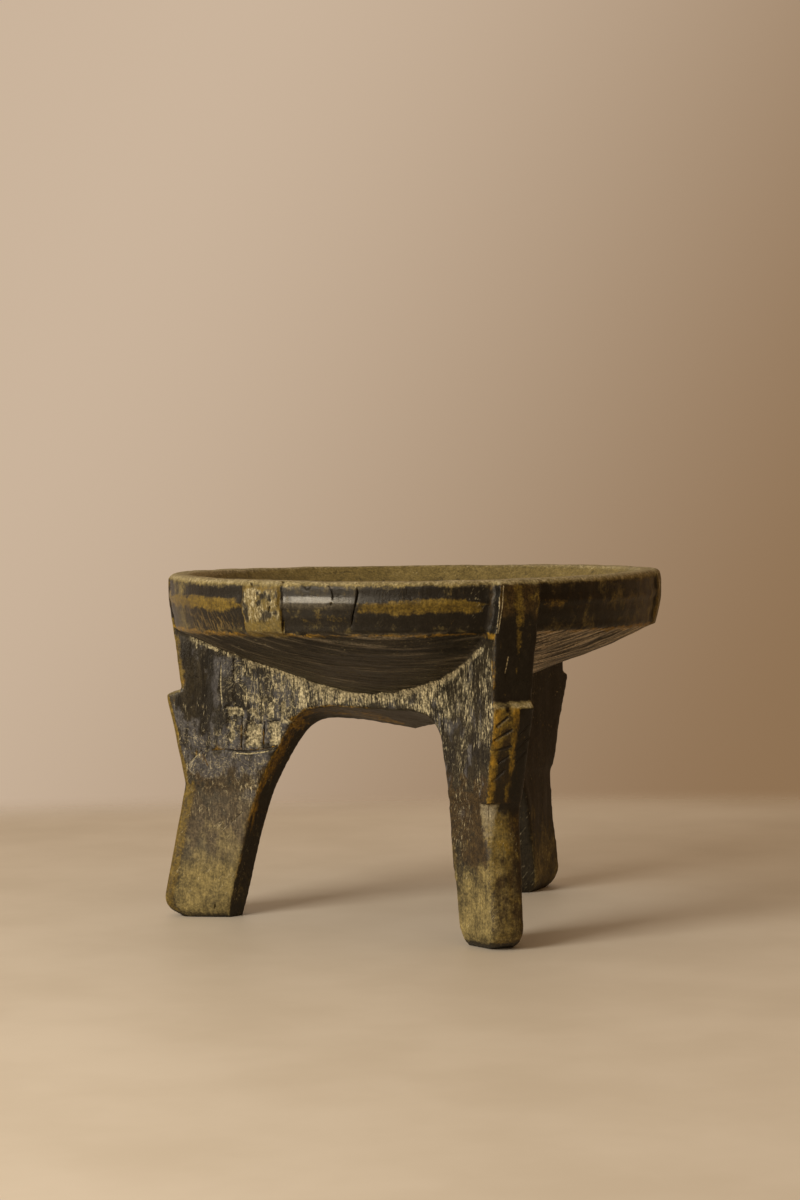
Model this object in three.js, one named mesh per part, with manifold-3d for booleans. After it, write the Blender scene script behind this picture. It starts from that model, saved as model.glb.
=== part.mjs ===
// A low three-legged stool carved from one block of hardwood: a round dished seat
// whose underside is a shallow cone, and three plank-like legs that run up over the
// rim as narrow spines. Each leg has a knee, a block that juts out under a ledge.
// Three low bosses stand on the rim between the legs. Millimetres, +Z up, feet on z = 0.

import * as THREE from 'three';
import { mergeVertices } from 'three/addons/utils/BufferGeometryUtils.js';
import Module from 'manifold-3d';

const wasm = await Module();
wasm.setup();

// Driving dimensions of the seat
const SEAT_RADIUS = 150;
const RIM_TOP = 213;
const RIM_WIDTH = 8.5;
const RIM_EDGE_WEAR = 3.2;
const BAND_RIDGE_HEIGHT = 198;
const BAND_SOFTNESS = 0.9;
const BAND_BOTTOM = 180.5;
const BAND_BOTTOM_INSET = 3.8;
const BAND_BOTTOM_RISE = 4;
const BAND_BOTTOM_RISE_AZIMUTH = 250;
const RIM_WAVE = 0.8;
const RIM_WAVE_AZIMUTH = -22;
const DISH_DEPTH = 22;
const DISH_FLAT_RADIUS = 14;
const DISH_BOWL_SHARE = 0.3;
const DISH_LIP_POWER = 12;
const UNDERSIDE_APEX = 124;
const UNDERSIDE_SLOPE = 0.365;
const UNDERSIDE_TURN_RADIUS = 118;
const SEAT_SEGMENTS = 72;

// Driving dimensions of the legs, all measured from the axis of the seat
const LEDGE_DROP = 3;
const STEP_DROP = 2.5;
const FOOT_HEIGHT = 12;
const FOOT_ROUND = 8;
const FOOT_SIDE_ROUND = 1.5;
const LEG_INNER_END = 36;
const LEAN_POWER = 4;
const SPINE_HALF_WIDTH = 13.2;
const KNEE_HALF_WIDTH = 12.6;
const KNEE_BOTTOM_HALF_WIDTH = 11;
const SHIN_TOP_HALF_WIDTH = 10.4;
const FOOT_HALF_WIDTH = 9.6;
const WEDGE_FADE_START = 60;
const WEDGE_FADE_END = 122;

// Each leg was cut by eye, so its measures differ a little from its neighbours'. Radii are
// taken on the outer face: at the rim, above the ledge, at the knee's lip, at the knee's
// lower end and at the foot. The step is the drop from the knee to the shin, and the shin
// flares to the foot along a power curve. The wedge is the angle by which each side face
// splays towards the axis, the lean is how far the spine strays sideways, and the inset is
// how far the foot reaches into the vaults on either side.
const LEGS = [
  {
    azimuth: 270, wedge: 14, lean: 4.8, inset: 4, ledge: 143.5,
    kneeBottom: 85, lug: 156.5, spine: 151, knee: 155.5, shin: 141.5,
    step: 2, flarePower: 1.3, foot: 145.5,
  },
  {
    azimuth: 33.6, wedge: 10, lean: 0, inset: 2.5, ledge: 142,
    kneeBottom: 80, lug: 156.5, spine: 155.5, knee: 162, shin: 145,
    step: 2.5, flarePower: 1.4, foot: 153.5,
  },
  {
    azimuth: 154, wedge: 4, lean: 0, inset: 0, ledge: 141.5,
    kneeBottom: 83, lug: 150.5, spine: 143, knee: 153.5, shin: 142,
    step: 0, flarePower: 1, foot: 156.5,
  },
];

// Driving dimensions of the hub under the seat and of the three vaults between the legs
const HUB_FACE_DISTANCE = 48;
const HUB_REACH = 90;
const HUB_HALF_WIDTH = 12.6;
const VAULT_CROWN = 116;
const VAULT_SLOPE = 1 / 3;
const VAULT_FOOT_HALF_SPAN = 89;
const VAULT_LENGTH = 200;
const VAULT_STEPS = 18;
const VAULT_BELOW = new THREE.Vector2(1.1, -2);

// Driving dimensions of the rim bosses
const BOSS_AZIMUTHS = [212.3, 330.5, 93];
const BOSS_WIDTH = 28;
const BOSS_PROUD = 2;
const BOSS_ROOT = 20;

const wood = new THREE.MeshStandardMaterial({ color: 0x4a3318, roughness: 0.5, metalness: 0 });

function closedGeometry(geometry) {
  const bare = geometry.index ? geometry.toNonIndexed() : geometry;
  bare.deleteAttribute('normal');
  bare.deleteAttribute('uv');
  return mergeVertices(bare, 1e-4);
}

function solidOf(geometry) {
  const closed = closedGeometry(geometry);
  return new wasm.Manifold(new wasm.Mesh({
    numProp: 3,
    vertProperties: new Float32Array(closed.attributes.position.array),
    triVerts: new Uint32Array(closed.index.array),
  }));
}

function geometryOf(solid) {
  const mesh = solid.getMesh();
  const geometry = new THREE.BufferGeometry();
  geometry.setAttribute('position', new THREE.BufferAttribute(new Float32Array(mesh.vertProperties), 3));
  geometry.setIndex(Array.from(mesh.triVerts));
  geometry.computeVertexNormals();
  return geometry;
}

function lathe(points) {
  const geometry = new THREE.LatheGeometry(points, SEAT_SEGMENTS);
  geometry.rotateX(Math.PI / 2);
  return geometry;
}

function onCircle(radius, azimuthDegrees) {
  const azimuth = THREE.MathUtils.degToRad(azimuthDegrees);
  return new THREE.Vector2(radius * Math.cos(azimuth), radius * Math.sin(azimuth));
}

function gapAfter(leg, next) {
  return THREE.MathUtils.euclideanModulo(next.azimuth - leg.azimuth, 360);
}

// The band round the seat, with a soft ridge at mid-height and a worn top edge
function bandProfile(proud) {
  const outer = SEAT_RADIUS + proud;
  return [
    new THREE.Vector2(outer - BAND_BOTTOM_INSET, BAND_BOTTOM),
    new THREE.Vector2(outer - BAND_SOFTNESS, BAND_RIDGE_HEIGHT - 2 * RIM_EDGE_WEAR),
    new THREE.Vector2(outer, BAND_RIDGE_HEIGHT),
    new THREE.Vector2(outer, RIM_TOP - 2 * RIM_EDGE_WEAR),
    new THREE.Vector2(outer - BAND_SOFTNESS, RIM_TOP - RIM_EDGE_WEAR / 2),
    new THREE.Vector2(outer - RIM_EDGE_WEAR, RIM_TOP),
  ];
}

// The underside is a cone that turns up a little more steeply near the band
function undersideHeight(radius) {
  const rimRadius = SEAT_RADIUS - BAND_BOTTOM_INSET;
  const rimRise = BAND_BOTTOM - UNDERSIDE_APEX - UNDERSIDE_SLOPE * rimRadius;
  const turn = Math.max(0, (radius - UNDERSIDE_TURN_RADIUS) / (rimRadius - UNDERSIDE_TURN_RADIUS));
  return UNDERSIDE_APEX + UNDERSIDE_SLOPE * radius + rimRise * turn;
}

function seatBlock() {
  const underside = [];
  const rings = 7;
  for (let ring = 0; ring < rings; ring += 1) {
    const radius = (SEAT_RADIUS - BAND_BOTTOM_INSET) * (ring / rings);
    underside.push(new THREE.Vector2(radius, undersideHeight(radius)));
  }
  return solidOf(lathe([...underside, ...bandProfile(0), new THREE.Vector2(0, RIM_TOP)]));
}

// The dish: steep just inside the rim, then an easy curve to a small flat at the centre
function dishTool() {
  const floor = RIM_TOP - DISH_DEPTH;
  const lip = SEAT_RADIUS - RIM_EDGE_WEAR - RIM_WIDTH;
  const above = RIM_TOP + DISH_DEPTH;
  const points = [new THREE.Vector2(0, floor), new THREE.Vector2(DISH_FLAT_RADIUS, floor)];
  const rings = 8;
  for (let ring = 1; ring <= rings; ring += 1) {
    const share = Math.sin((ring / rings) * Math.PI / 2);
    const radius = THREE.MathUtils.lerp(DISH_FLAT_RADIUS, lip, share);
    const bowl = DISH_BOWL_SHARE * share ** 2;
    const upturn = (1 - DISH_BOWL_SHARE) * share ** DISH_LIP_POWER;
    points.push(new THREE.Vector2(radius, floor + DISH_DEPTH * (bowl + upturn)));
  }
  points.push(new THREE.Vector2(lip + 2, above));
  points.push(new THREE.Vector2(0, above));
  return solidOf(lathe(points));
}

// A boss is a short stretch of a slightly wider band
function rimBoss(azimuthDegrees) {
  const ring = [
    new THREE.Vector2(SEAT_RADIUS - BOSS_ROOT, BAND_BOTTOM + BAND_BOTTOM_INSET),
    ...bandProfile(BOSS_PROUD),
    new THREE.Vector2(SEAT_RADIUS - BOSS_ROOT, RIM_TOP),
    new THREE.Vector2(SEAT_RADIUS - BOSS_ROOT, BAND_BOTTOM + BAND_BOTTOM_INSET),
  ];
  const slice = new THREE.BoxGeometry(3 * BOSS_ROOT, BOSS_WIDTH, 2 * RIM_TOP);
  slice.translate(SEAT_RADIUS, 0, 0);
  slice.rotateZ(THREE.MathUtils.degToRad(azimuthDegrees));
  return solidOf(lathe(ring)).intersect(solidOf(slice));
}

// Heights at which a leg's outline turns, from the sole to the top of the rim
function legLevels(leg) {
  const levels = [];
  const roundSteps = 4;
  for (let step = 0; step < roundSteps; step += 1) {
    levels.push(FOOT_HEIGHT * (1 - Math.cos((step / roundSteps) * Math.PI / 2)));
  }
  const shinSteps = 8;
  for (let step = 0; step <= shinSteps; step += 1) {
    levels.push(THREE.MathUtils.lerp(FOOT_HEIGHT, leg.kneeBottom - STEP_DROP, step / shinSteps));
  }
  levels.push(leg.kneeBottom);
  const kneeSteps = 5;
  for (let step = 1; step <= kneeSteps; step += 1) {
    levels.push(THREE.MathUtils.lerp(leg.kneeBottom, leg.ledge - LEDGE_DROP, step / kneeSteps));
  }
  levels.push(leg.ledge);
  levels.push((leg.ledge + BAND_BOTTOM) / 2);
  levels.push(BAND_BOTTOM);
  levels.push(BAND_RIDGE_HEIGHT);
  levels.push(RIM_TOP - RIM_EDGE_WEAR);
  levels.push(RIM_TOP);
  return levels;
}

// How far the outer face of a leg stands from the axis at a height
function outerRadius(leg, height) {
  const { mapLinear } = THREE.MathUtils;
  const ledgeLip = leg.ledge - LEDGE_DROP;
  if (height >= BAND_RIDGE_HEIGHT) {
    return leg.lug - Math.max(0, height - RIM_TOP + RIM_EDGE_WEAR);
  }
  if (height >= leg.ledge) {
    return mapLinear(height, leg.ledge, BAND_RIDGE_HEIGHT, leg.spine, leg.lug);
  }
  if (height >= ledgeLip) {
    return mapLinear(height, ledgeLip, leg.ledge, leg.knee, leg.spine);
  }
  if (height >= leg.kneeBottom) {
    return mapLinear(height, leg.kneeBottom, ledgeLip, leg.shin, leg.knee);
  }
  const shinTop = leg.shin - leg.step;
  const fall = Math.min(1, (leg.kneeBottom - height) / (leg.kneeBottom - FOOT_HEIGHT));
  const flare = shinTop + (leg.foot - shinTop) * fall ** leg.flarePower;
  return flare - footRound(height, FOOT_ROUND);
}

// How far a rounded foot edge draws in near the ground
function footRound(height, depth) {
  const share = THREE.MathUtils.clamp(1 - height / FOOT_HEIGHT, 0, 1);
  return depth * (1 - Math.sqrt(1 - share ** 2));
}

// Half the width of a leg's outer face at a height
function outerHalfWidth(leg, height) {
  const { mapLinear } = THREE.MathUtils;
  if (height >= BAND_BOTTOM) {
    return SPINE_HALF_WIDTH;
  }
  if (height >= leg.ledge) {
    return mapLinear(height, leg.ledge, BAND_BOTTOM, KNEE_HALF_WIDTH, SPINE_HALF_WIDTH);
  }
  if (height >= leg.kneeBottom) {
    return mapLinear(height, leg.kneeBottom, leg.ledge, KNEE_BOTTOM_HALF_WIDTH, KNEE_HALF_WIDTH);
  }
  return mapLinear(height, 0, leg.kneeBottom, FOOT_HALF_WIDTH, SHIN_TOP_HALF_WIDTH);
}

// A leg is a wedge in plan: narrow outside, wider towards the axis, and parallel-sided higher up
function legBlade(leg) {
  const levels = legLevels(leg);
  const wedge = Math.tan(THREE.MathUtils.degToRad(leg.wedge));
  const geometry = new THREE.BoxGeometry(1, 1, 1, 6, 1, levels.length - 1);
  const position = geometry.attributes.position;
  for (let index = 0; index < position.count; index += 1) {
    const level = Math.round((position.getZ(index) + 0.5) * (levels.length - 1));
    const height = levels[level];
    const outer = outerRadius(leg, height);
    const fade = THREE.MathUtils.clamp(
      (WEDGE_FADE_END - height) / (WEDGE_FADE_END - WEDGE_FADE_START), 0, 1,
    );
    const radius = THREE.MathUtils.lerp(LEG_INNER_END, outer, position.getX(index) + 0.5);
    const halfWidth = outerHalfWidth(leg, height) - footRound(height, FOOT_SIDE_ROUND)
      + (outer - radius) * wedge * fade;
    const lean = leg.lean * ((height / RIM_TOP) ** LEAN_POWER - 0.5);
    position.setXYZ(index, radius, Math.sign(position.getY(index)) * halfWidth + lean, height);
  }
  geometry.rotateZ(THREE.MathUtils.degToRad(leg.azimuth));
  return solidOf(geometry);
}

// A place in plan from a leg's own axes: along its radius, and sideways towards the next leg
function besideLeg(leg, radius, sideways) {
  return onCircle(radius, leg.azimuth).add(onCircle(sideways, leg.azimuth + 90));
}

// The hub under the seat: its faces run out of one leg's side and into the next leg's in a
// smooth hollow curve that passes the axis at the face distance
function hubBlock() {
  const outline = new THREE.Shape();
  const start = besideLeg(LEGS[0], HUB_REACH, HUB_HALF_WIDTH);
  outline.moveTo(start.x, start.y);
  LEGS.forEach((leg, index) => {
    const next = LEGS[(index + 1) % LEGS.length];
    const halfGap = THREE.MathUtils.degToRad(gapAfter(leg, next) / 2);
    const sideways = HUB_HALF_WIDTH * Math.sin(halfGap);
    const endDistance = HUB_REACH * Math.cos(halfGap) + sideways;
    const pullDistance = (8 * HUB_FACE_DISTANCE - 2 * endDistance) / 6;
    const pullRadius = (pullDistance - sideways) / Math.cos(halfGap);
    const pull = besideLeg(leg, pullRadius, HUB_HALF_WIDTH);
    const nextPull = besideLeg(next, pullRadius, -HUB_HALF_WIDTH);
    const nextSide = besideLeg(next, HUB_REACH, -HUB_HALF_WIDTH);
    const farSide = besideLeg(next, HUB_REACH, HUB_HALF_WIDTH);
    outline.bezierCurveTo(pull.x, pull.y, nextPull.x, nextPull.y, nextSide.x, nextSide.y);
    outline.lineTo(farSide.x, farSide.y);
  });
  const bottom = VAULT_CROWN / 2;
  const depth = (BAND_BOTTOM + RIM_TOP) / 2 - DISH_DEPTH - bottom;
  const geometry = new THREE.ExtrudeGeometry(outline, { depth, bevelEnabled: false, curveSegments: 10 });
  geometry.translate(0, 0, bottom);
  return solidOf(geometry);
}

// One side of a vault's arch, from below its foot up to the crown, as half span and height
function vaultSide(spanScale, inset) {
  const curve = new THREE.SplineCurve([
    new THREE.Vector2(1.06, -0.2),
    new THREE.Vector2(0.94, 0.26),
    new THREE.Vector2(0.865, 0.51),
    new THREE.Vector2(0.77, 0.7),
    new THREE.Vector2(0.655, 0.88),
    new THREE.Vector2(0.53, 0.97),
    new THREE.Vector2(0.32, 1),
  ]);
  return [VAULT_BELOW, ...curve.getPoints(VAULT_STEPS)].map((point) => {
    const halfSpan = VAULT_FOOT_HALF_SPAN * spanScale * point.x;
    return new THREE.Vector2(halfSpan - inset * (1 - point.y), VAULT_CROWN * point.y);
  });
}

// The vault between two legs: an arch-shaped tunnel that climbs outwards from the axis
function vaultTool(legBefore, legAfter) {
  const gap = gapAfter(legBefore, legAfter);
  const spanScale = Math.sin(THREE.MathUtils.degToRad(gap / 2)) / Math.sin(Math.PI / 3);
  const right = vaultSide(spanScale, legAfter.inset);
  const left = vaultSide(spanScale, legBefore.inset).reverse();
  left.forEach((point) => point.setX(-point.x));
  const outline = new THREE.Shape([...right, ...left]);
  const geometry = new THREE.ExtrudeGeometry(outline, { depth: VAULT_LENGTH, bevelEnabled: false });
  geometry.rotateX(Math.PI / 2);
  geometry.rotateZ(Math.PI / 2);
  geometry.applyMatrix4(new THREE.Matrix4().makeShear(0, VAULT_SLOPE, 0, 0, 0, 0));
  geometry.rotateZ(THREE.MathUtils.degToRad(legBefore.azimuth + gap / 2));
  return solidOf(geometry);
}

// The rim isn't quite level, and the lower edge of the band climbs a little on one side
function settleByHand(geometry) {
  const position = geometry.attributes.position;
  for (let index = 0; index < position.count; index += 1) {
    const x = position.getX(index);
    const y = position.getY(index);
    const z = position.getZ(index);
    const azimuth = Math.atan2(y, x);
    const wave = azimuth - THREE.MathUtils.degToRad(RIM_WAVE_AZIMUTH);
    const rise = Math.cos(azimuth - THREE.MathUtils.degToRad(BAND_BOTTOM_RISE_AZIMUTH)) ** 2;
    const outer = THREE.MathUtils.smoothstep(Math.hypot(x, y), 110, SEAT_RADIUS - 5);
    const nearTop = THREE.MathUtils.smoothstep(z, BAND_RIDGE_HEIGHT - 6, RIM_TOP);
    const nearBandBottom = THREE.MathUtils.smoothstep(z, BAND_BOTTOM - 10, BAND_BOTTOM)
      * (1 - THREE.MathUtils.smoothstep(z, BAND_BOTTOM, BAND_RIDGE_HEIGHT));
    const lift = RIM_WAVE * (Math.cos(2 * wave) - Math.sin(wave)) * nearTop
      + BAND_BOTTOM_RISE * rise * nearBandBottom;
    position.setZ(index, z + lift * outer);
  }
  return geometry;
}

function stoolSolid() {
  let legs = hubBlock();
  for (const leg of LEGS) {
    legs = legs.add(legBlade(leg));
  }
  LEGS.forEach((leg, index) => {
    legs = legs.subtract(vaultTool(leg, LEGS[(index + 1) % LEGS.length]));
  });
  let stool = seatBlock().add(legs);
  for (const azimuth of BOSS_AZIMUTHS) {
    stool = stool.add(rimBoss(azimuth));
  }
  return stool.subtract(dishTool());
}

const stool = new THREE.Mesh(settleByHand(geometryOf(stoolSolid())), wood);
stool.name = 'stool';

// The part's origin is under the middle of its box, on the ground
const group = new THREE.Group();
group.add(stool);
const box = new THREE.Box3().setFromObject(stool);
const middle = box.getCenter(new THREE.Vector3());
group.position.set(-middle.x, -middle.y, -box.min.z);

export default group;
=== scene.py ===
# %% [markdown]
# # A stool carved from one block
#
# The real stool is a single piece of hardwood: a dished round seat, a thick band round its
# rim, and three plank legs that climb over the band as narrow spines. Years of handling have
# left a near-black, waxy skin that is worn golden on the edges, dusty on the flat sides and
# bare at the feet. The measured solid comes first, and every look is built around it.

# %% Load the measured solid
import math

import bmesh
import bpy
import numpy as np
from mathutils import Matrix, Vector, kdtree, noise


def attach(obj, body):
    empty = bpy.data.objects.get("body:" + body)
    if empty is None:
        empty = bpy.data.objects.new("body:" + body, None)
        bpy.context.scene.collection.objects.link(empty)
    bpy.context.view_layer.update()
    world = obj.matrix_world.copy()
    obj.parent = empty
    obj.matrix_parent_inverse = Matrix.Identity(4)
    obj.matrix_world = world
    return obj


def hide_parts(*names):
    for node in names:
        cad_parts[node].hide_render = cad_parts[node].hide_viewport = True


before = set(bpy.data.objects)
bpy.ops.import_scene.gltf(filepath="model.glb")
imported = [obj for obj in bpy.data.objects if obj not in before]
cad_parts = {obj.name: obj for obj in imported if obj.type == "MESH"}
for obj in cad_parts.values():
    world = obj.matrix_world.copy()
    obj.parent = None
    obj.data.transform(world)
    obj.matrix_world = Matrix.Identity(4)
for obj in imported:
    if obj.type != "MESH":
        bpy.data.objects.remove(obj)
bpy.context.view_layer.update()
MM = 0.001
SEAT_CENTRE = Vector((0, 2.25 * MM, 0))

# %% [markdown]
# ## The camera
#
# The view is low and a little to the left of the leg that comes forward. It could be found by
# trial, but here it comes from the ellipse of the rim and the upright edges, which fix the
# distance, the height and the slight tilt of the picture. An 85 mm lens stands nearly two
# metres away, so the legs hardly converge.

# %% Place the camera
VIEW_AZIMUTH = math.radians(248)
VIEW_DISTANCE = 1.7436
VIEW_HEIGHT = 0.2799
VIEW_TURN = math.radians(-21.72)
VIEW_PITCH = math.radians(2.77)
VIEW_ROLL = math.radians(-0.63)


def put_in_scene(name, data):
    made = bpy.data.objects.new(name, data)
    bpy.context.scene.collection.objects.link(made)
    return made


camera_data = bpy.data.cameras.new("view")
camera_data.sensor_width = 36
camera_data.lens = 85
camera_data.clip_start = 0.05
camera = put_in_scene("view", camera_data)
bpy.context.scene.camera = camera
stand = SEAT_CENTRE + VIEW_DISTANCE * Vector((math.cos(VIEW_AZIMUTH), math.sin(VIEW_AZIMUTH), 0))
stand.z = VIEW_HEIGHT
aim = Matrix.Rotation(VIEW_TURN, 4, "Z") @ Matrix.Rotation(math.pi / 2 - VIEW_PITCH, 4, "X")
camera.matrix_world = Matrix.Translation(stand) @ aim @ Matrix.Rotation(VIEW_ROLL, 4, "Z")
print("camera at", tuple(round(value, 4) for value in stand))

# %% [markdown]
# ## Floor, backdrop and light
#
# The stool stands on a pale floor in front of a warm plain wall, in soft light from the left
# front. A wall of its own would hide the stool from behind, so the floor is a disc whose far
# edge fades out, and the world behind it is lighter to the left and darker to the right: painted
# light falling off across the wall, which also lights the stool that way. One large soft
# light makes the long pale reflection on the band and the faint shadows.

# %% Helpers for nodes
TURN_TO_VIEW = Matrix.Rotation(math.radians(-22), 4, "Z")


def in_view_frame(x, y, z):
    return TURN_TO_VIEW @ Vector((x, y, z)) + SEAT_CENTRE


class Recipe:
    """Short names for the shader nodes that this scene uses."""

    def __init__(self, tree):
        self.tree = tree
        tree.nodes.clear()

    def node(self, kind, **settings):
        made = self.tree.nodes.new(kind)
        for name, value in settings.items():
            setattr(made, name, value)
        return made

    def feed(self, socket, value):
        if isinstance(value, bpy.types.NodeSocket):
            self.tree.links.new(value, socket)
        else:
            socket.default_value = value

    def calculate(self, operation, first, second=0, third=0):
        made = self.node("ShaderNodeMath", operation=operation)
        for socket, value in zip(made.inputs, (first, second, third)):
            self.feed(socket, value)
        return made.outputs[0]

    def ramp(self, value, low, high, start=0, end=1):
        made = self.node("ShaderNodeMapRange", interpolation_type="SMOOTHSTEP")
        for socket, given in zip(made.inputs, (value, low, high, start, end)):
            self.feed(socket, given)
        return made.outputs[0]

    def blend(self, factor, first, second):
        made = self.node("ShaderNodeMix", data_type="RGBA")
        self.feed(made.inputs["Factor"], factor)
        self.feed(made.inputs[6], first)
        self.feed(made.inputs[7], second)
        return made.outputs[2]

    def drawn_out(self, place, direction, ratio):
        """Coordinates that make a pattern so many times longer along the direction."""
        made = self.node("ShaderNodeMapping", vector_type="TEXTURE")
        self.feed(made.inputs["Vector"], place)
        made.inputs["Rotation"].default_value = Vector(direction).to_track_quat("Z", "Y").to_euler()
        made.inputs["Scale"].default_value = (1, 1, ratio)
        return made.outputs[0]

    def cloud(self, place, *settings):
        """Noise of a scale, a detail and a roughness, and a distortion where it is given."""
        made = self.node("ShaderNodeTexNoise")
        self.feed(made.inputs["Vector"], place)
        for name, value in zip(("Scale", "Detail", "Roughness", "Distortion"), settings):
            made.inputs[name].default_value = value
        return made.outputs["Fac"]


# %% Lay the floor
FLOOR_RADIUS = 2.3
FLOOR_CENTRE = in_view_frame(0, -1.6, 0)
FLOOR_DARK = (0.525, 0.45, 0.335, 1)
FLOOR_LIGHT = (0.575, 0.5, 0.382, 1)

floor_mesh = bpy.data.meshes.new("floor")
sheet = bmesh.new()
bmesh.ops.create_circle(sheet, cap_ends=True, segments=96, radius=FLOOR_RADIUS)
bmesh.ops.translate(sheet, verts=sheet.verts, vec=FLOOR_CENTRE)
sheet.to_mesh(floor_mesh)
sheet.free()
floor = put_in_scene("floor", floor_mesh)

floor_paint = bpy.data.materials.new("pale_floor")
floor_paint.use_nodes = True
recipe = Recipe(floor_paint.node_tree)
place = recipe.node("ShaderNodeTexCoord").outputs["Object"]
away = recipe.node("ShaderNodeVectorMath", operation="DISTANCE")
recipe.feed(away.inputs[0], place)
away.inputs[1].default_value = FLOOR_CENTRE
mottle = recipe.ramp(recipe.cloud(place, 9, 4, 0.55), 0.3, 0.7)
floor_shader = recipe.node("ShaderNodeBsdfPrincipled")
recipe.feed(floor_shader.inputs["Base Color"], recipe.blend(mottle, FLOOR_DARK, FLOOR_LIGHT))
floor_shader.inputs["Roughness"].default_value = 0.55
see_through = recipe.ramp(
    away.outputs["Value"], FLOOR_RADIUS - 0.22, FLOOR_RADIUS - 0.02, 1, 0)
recipe.feed(floor_shader.inputs["Alpha"], see_through)
recipe.feed(recipe.node("ShaderNodeOutputMaterial").inputs["Surface"], floor_shader.outputs[0])
floor_mesh.materials.append(floor_paint)
print("floor radius", FLOOR_RADIUS)

# %% Tint the world and set the light
# Painted light: the world is lighter on the left and darker on the right, as a lit wall falls off into
# shade.
WALL_LIT_TONE = (0.6, 0.46, 0.335, 1)
WALL_SHADED_TONE = (0.27, 0.165, 0.085, 1)
LIGHT_PLACE = (-1.25, -1.2, 0.75)
LIGHT_SIZE = 0.8
LIGHT_WATTS = 35
LIGHT_TINT = (1, 0.97, 0.93)

world = bpy.data.worlds.new("studio")
bpy.context.scene.world = world
world.use_nodes = True
recipe = Recipe(world.node_tree)
direction = recipe.node("ShaderNodeTexCoord").outputs["Generated"]
across = recipe.node("ShaderNodeVectorMath", operation="DOT_PRODUCT")
recipe.feed(across.inputs[0], direction)
across.inputs[1].default_value = TURN_TO_VIEW @ Vector((1, 0, -0.5))
tone = recipe.blend(recipe.ramp(across.outputs["Value"], -0.16, 0.2), WALL_LIT_TONE, WALL_SHADED_TONE)
background = recipe.node("ShaderNodeBackground")
recipe.feed(background.inputs["Color"], tone)
recipe.feed(recipe.node("ShaderNodeOutputWorld").inputs["Surface"], background.outputs[0])

window = bpy.data.lights.new("window", "AREA")
window.shape = "SQUARE"
window.size = LIGHT_SIZE
window.energy = LIGHT_WATTS
window.color = LIGHT_TINT
lamp = put_in_scene("window", window)
lamp.location = in_view_frame(*LIGHT_PLACE)
towards = in_view_frame(0, 0, 0.1) - lamp.location
lamp.rotation_euler = towards.to_track_quat("-Z", "Y").to_euler()
bpy.context.scene.view_settings.view_transform = "Standard"
print("light of", LIGHT_WATTS, "watts")

# %% [markdown]
# ## An even skin for the carving
#
# The measured solid has a few thousand flat faces, too coarse for worn edges. It could be
# subdivided, but long thin faces subdivide badly. A voxel remesh lays an even net of small
# squares over the same shape, and then every point can be moved like clay.

# %% Remesh a copy of the solid
SKIN_STEP = 1.15 * MM

copy_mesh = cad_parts["stool"].data.copy()
block = bmesh.new()
block.from_mesh(copy_mesh)
bmesh.ops.remove_doubles(block, verts=block.verts, dist=1e-6)
block.to_mesh(copy_mesh)
block.free()
carving = put_in_scene("carved_stool", copy_mesh)


def bake_modifiers(piece):
    """Turns what the modifiers make into the piece's own mesh."""
    graph = bpy.context.evaluated_depsgraph_get()
    made = bpy.data.meshes.new_from_object(piece.evaluated_get(graph))
    piece.modifiers.clear()
    piece.data = made
    return made


even = carving.modifiers.new("even skin", "REMESH")
even.mode = "VOXEL"
even.voxel_size = SKIN_STEP
skin = bake_modifiers(carving)
print("skin", len(skin.vertices), "points")

# %% [markdown]
# ## Where the carver left marks
#
# Cracks in the band, a saw cut over the eroded patch, and short slanted cuts on the front knee
# are single marks, not a pattern. They could be painted, but they catch the light, so each
# one is a width, a depth and a short line on the surface, and each chip is a reach, a depth and
# a middle. The same lines are darkened later. Measures are in millimetres on the part's axes.

# %% List the marks
CRACKS = [
    (0.45, 1.3, [(-83.7, -119.5, 212.9), (-84.3, -121.7, 206.8), (-85.2, -121.2, 201.2),
                 (-86.6, -119.2, 193.4), (-86.8, -117.1, 187)]),
    (0.35, 0.6, [(-97.8, -110.3, 211.6), (-96.4, -112.5, 207.5), (-96.1, -112.9, 204)]),
    (0.8, 1.1, [(-96.8, -112.3, 200.7), (-96.6, -112.4, 200.3)]),
    (0.5, 1.1, [(-116.6, 46.8, 10.5), (-117, 46.4, 5), (-116.2, 47.8, -0.5)]),
    (0.8, 1.2, [(-130.7, -71.7, 213.5), (-130.7, -74.4, 209.1)]),
    (0.6, 1.1, [(-130.6, -75.3, 203.7), (-129.2, -77.5, 198.9), (-127.2, -79.7, 194.7)]),
    (0.5, 0.8, [(-124.1, -85.5, 202.5), (-124.8, -83.8, 195.6)]),
    (1, 1.5, [(-116.4, -88.4, 213.5), (-118.6, -88.8, 204), (-117.6, -88.4, 196),
                (-117.2, -88.3, 183)]),
    (0.45, 1, [(96.5, 113, 213), (97.5, 113.4, 204), (95, 114.5, 193)]),
    (0.45, 0.9, [(-60, 137.5, 213), (-60.8, 138.6, 203), (-58.5, 139.3, 196)]),
    (0.4, 0.9, [(108.6, 77.6, 11), (107.6, 79, -0.5)]),
    (0.4, 1, [(146.5, -28, 213), (147.9, -29, 204), (147, -31, 198)]),
]
SAW_CUTS = [
    (0.45, 0.7, [(-117, 46, 104.3), (-111.1, 42.9, 104.5), (-98.5, 36.5, 103.6),
                 (-89.9, 32, 104.4), (-80.5, 26.4, 106.8)]),
    (0.5, 0.7, [(-100.1, 37.5, 125.3), (-100.9, 37.7, 106.1)]),
    (0.6, 0.9, [(-87.9, 31.5, 121.5), (-88.7, 31.5, 106.1)]),
]
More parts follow.
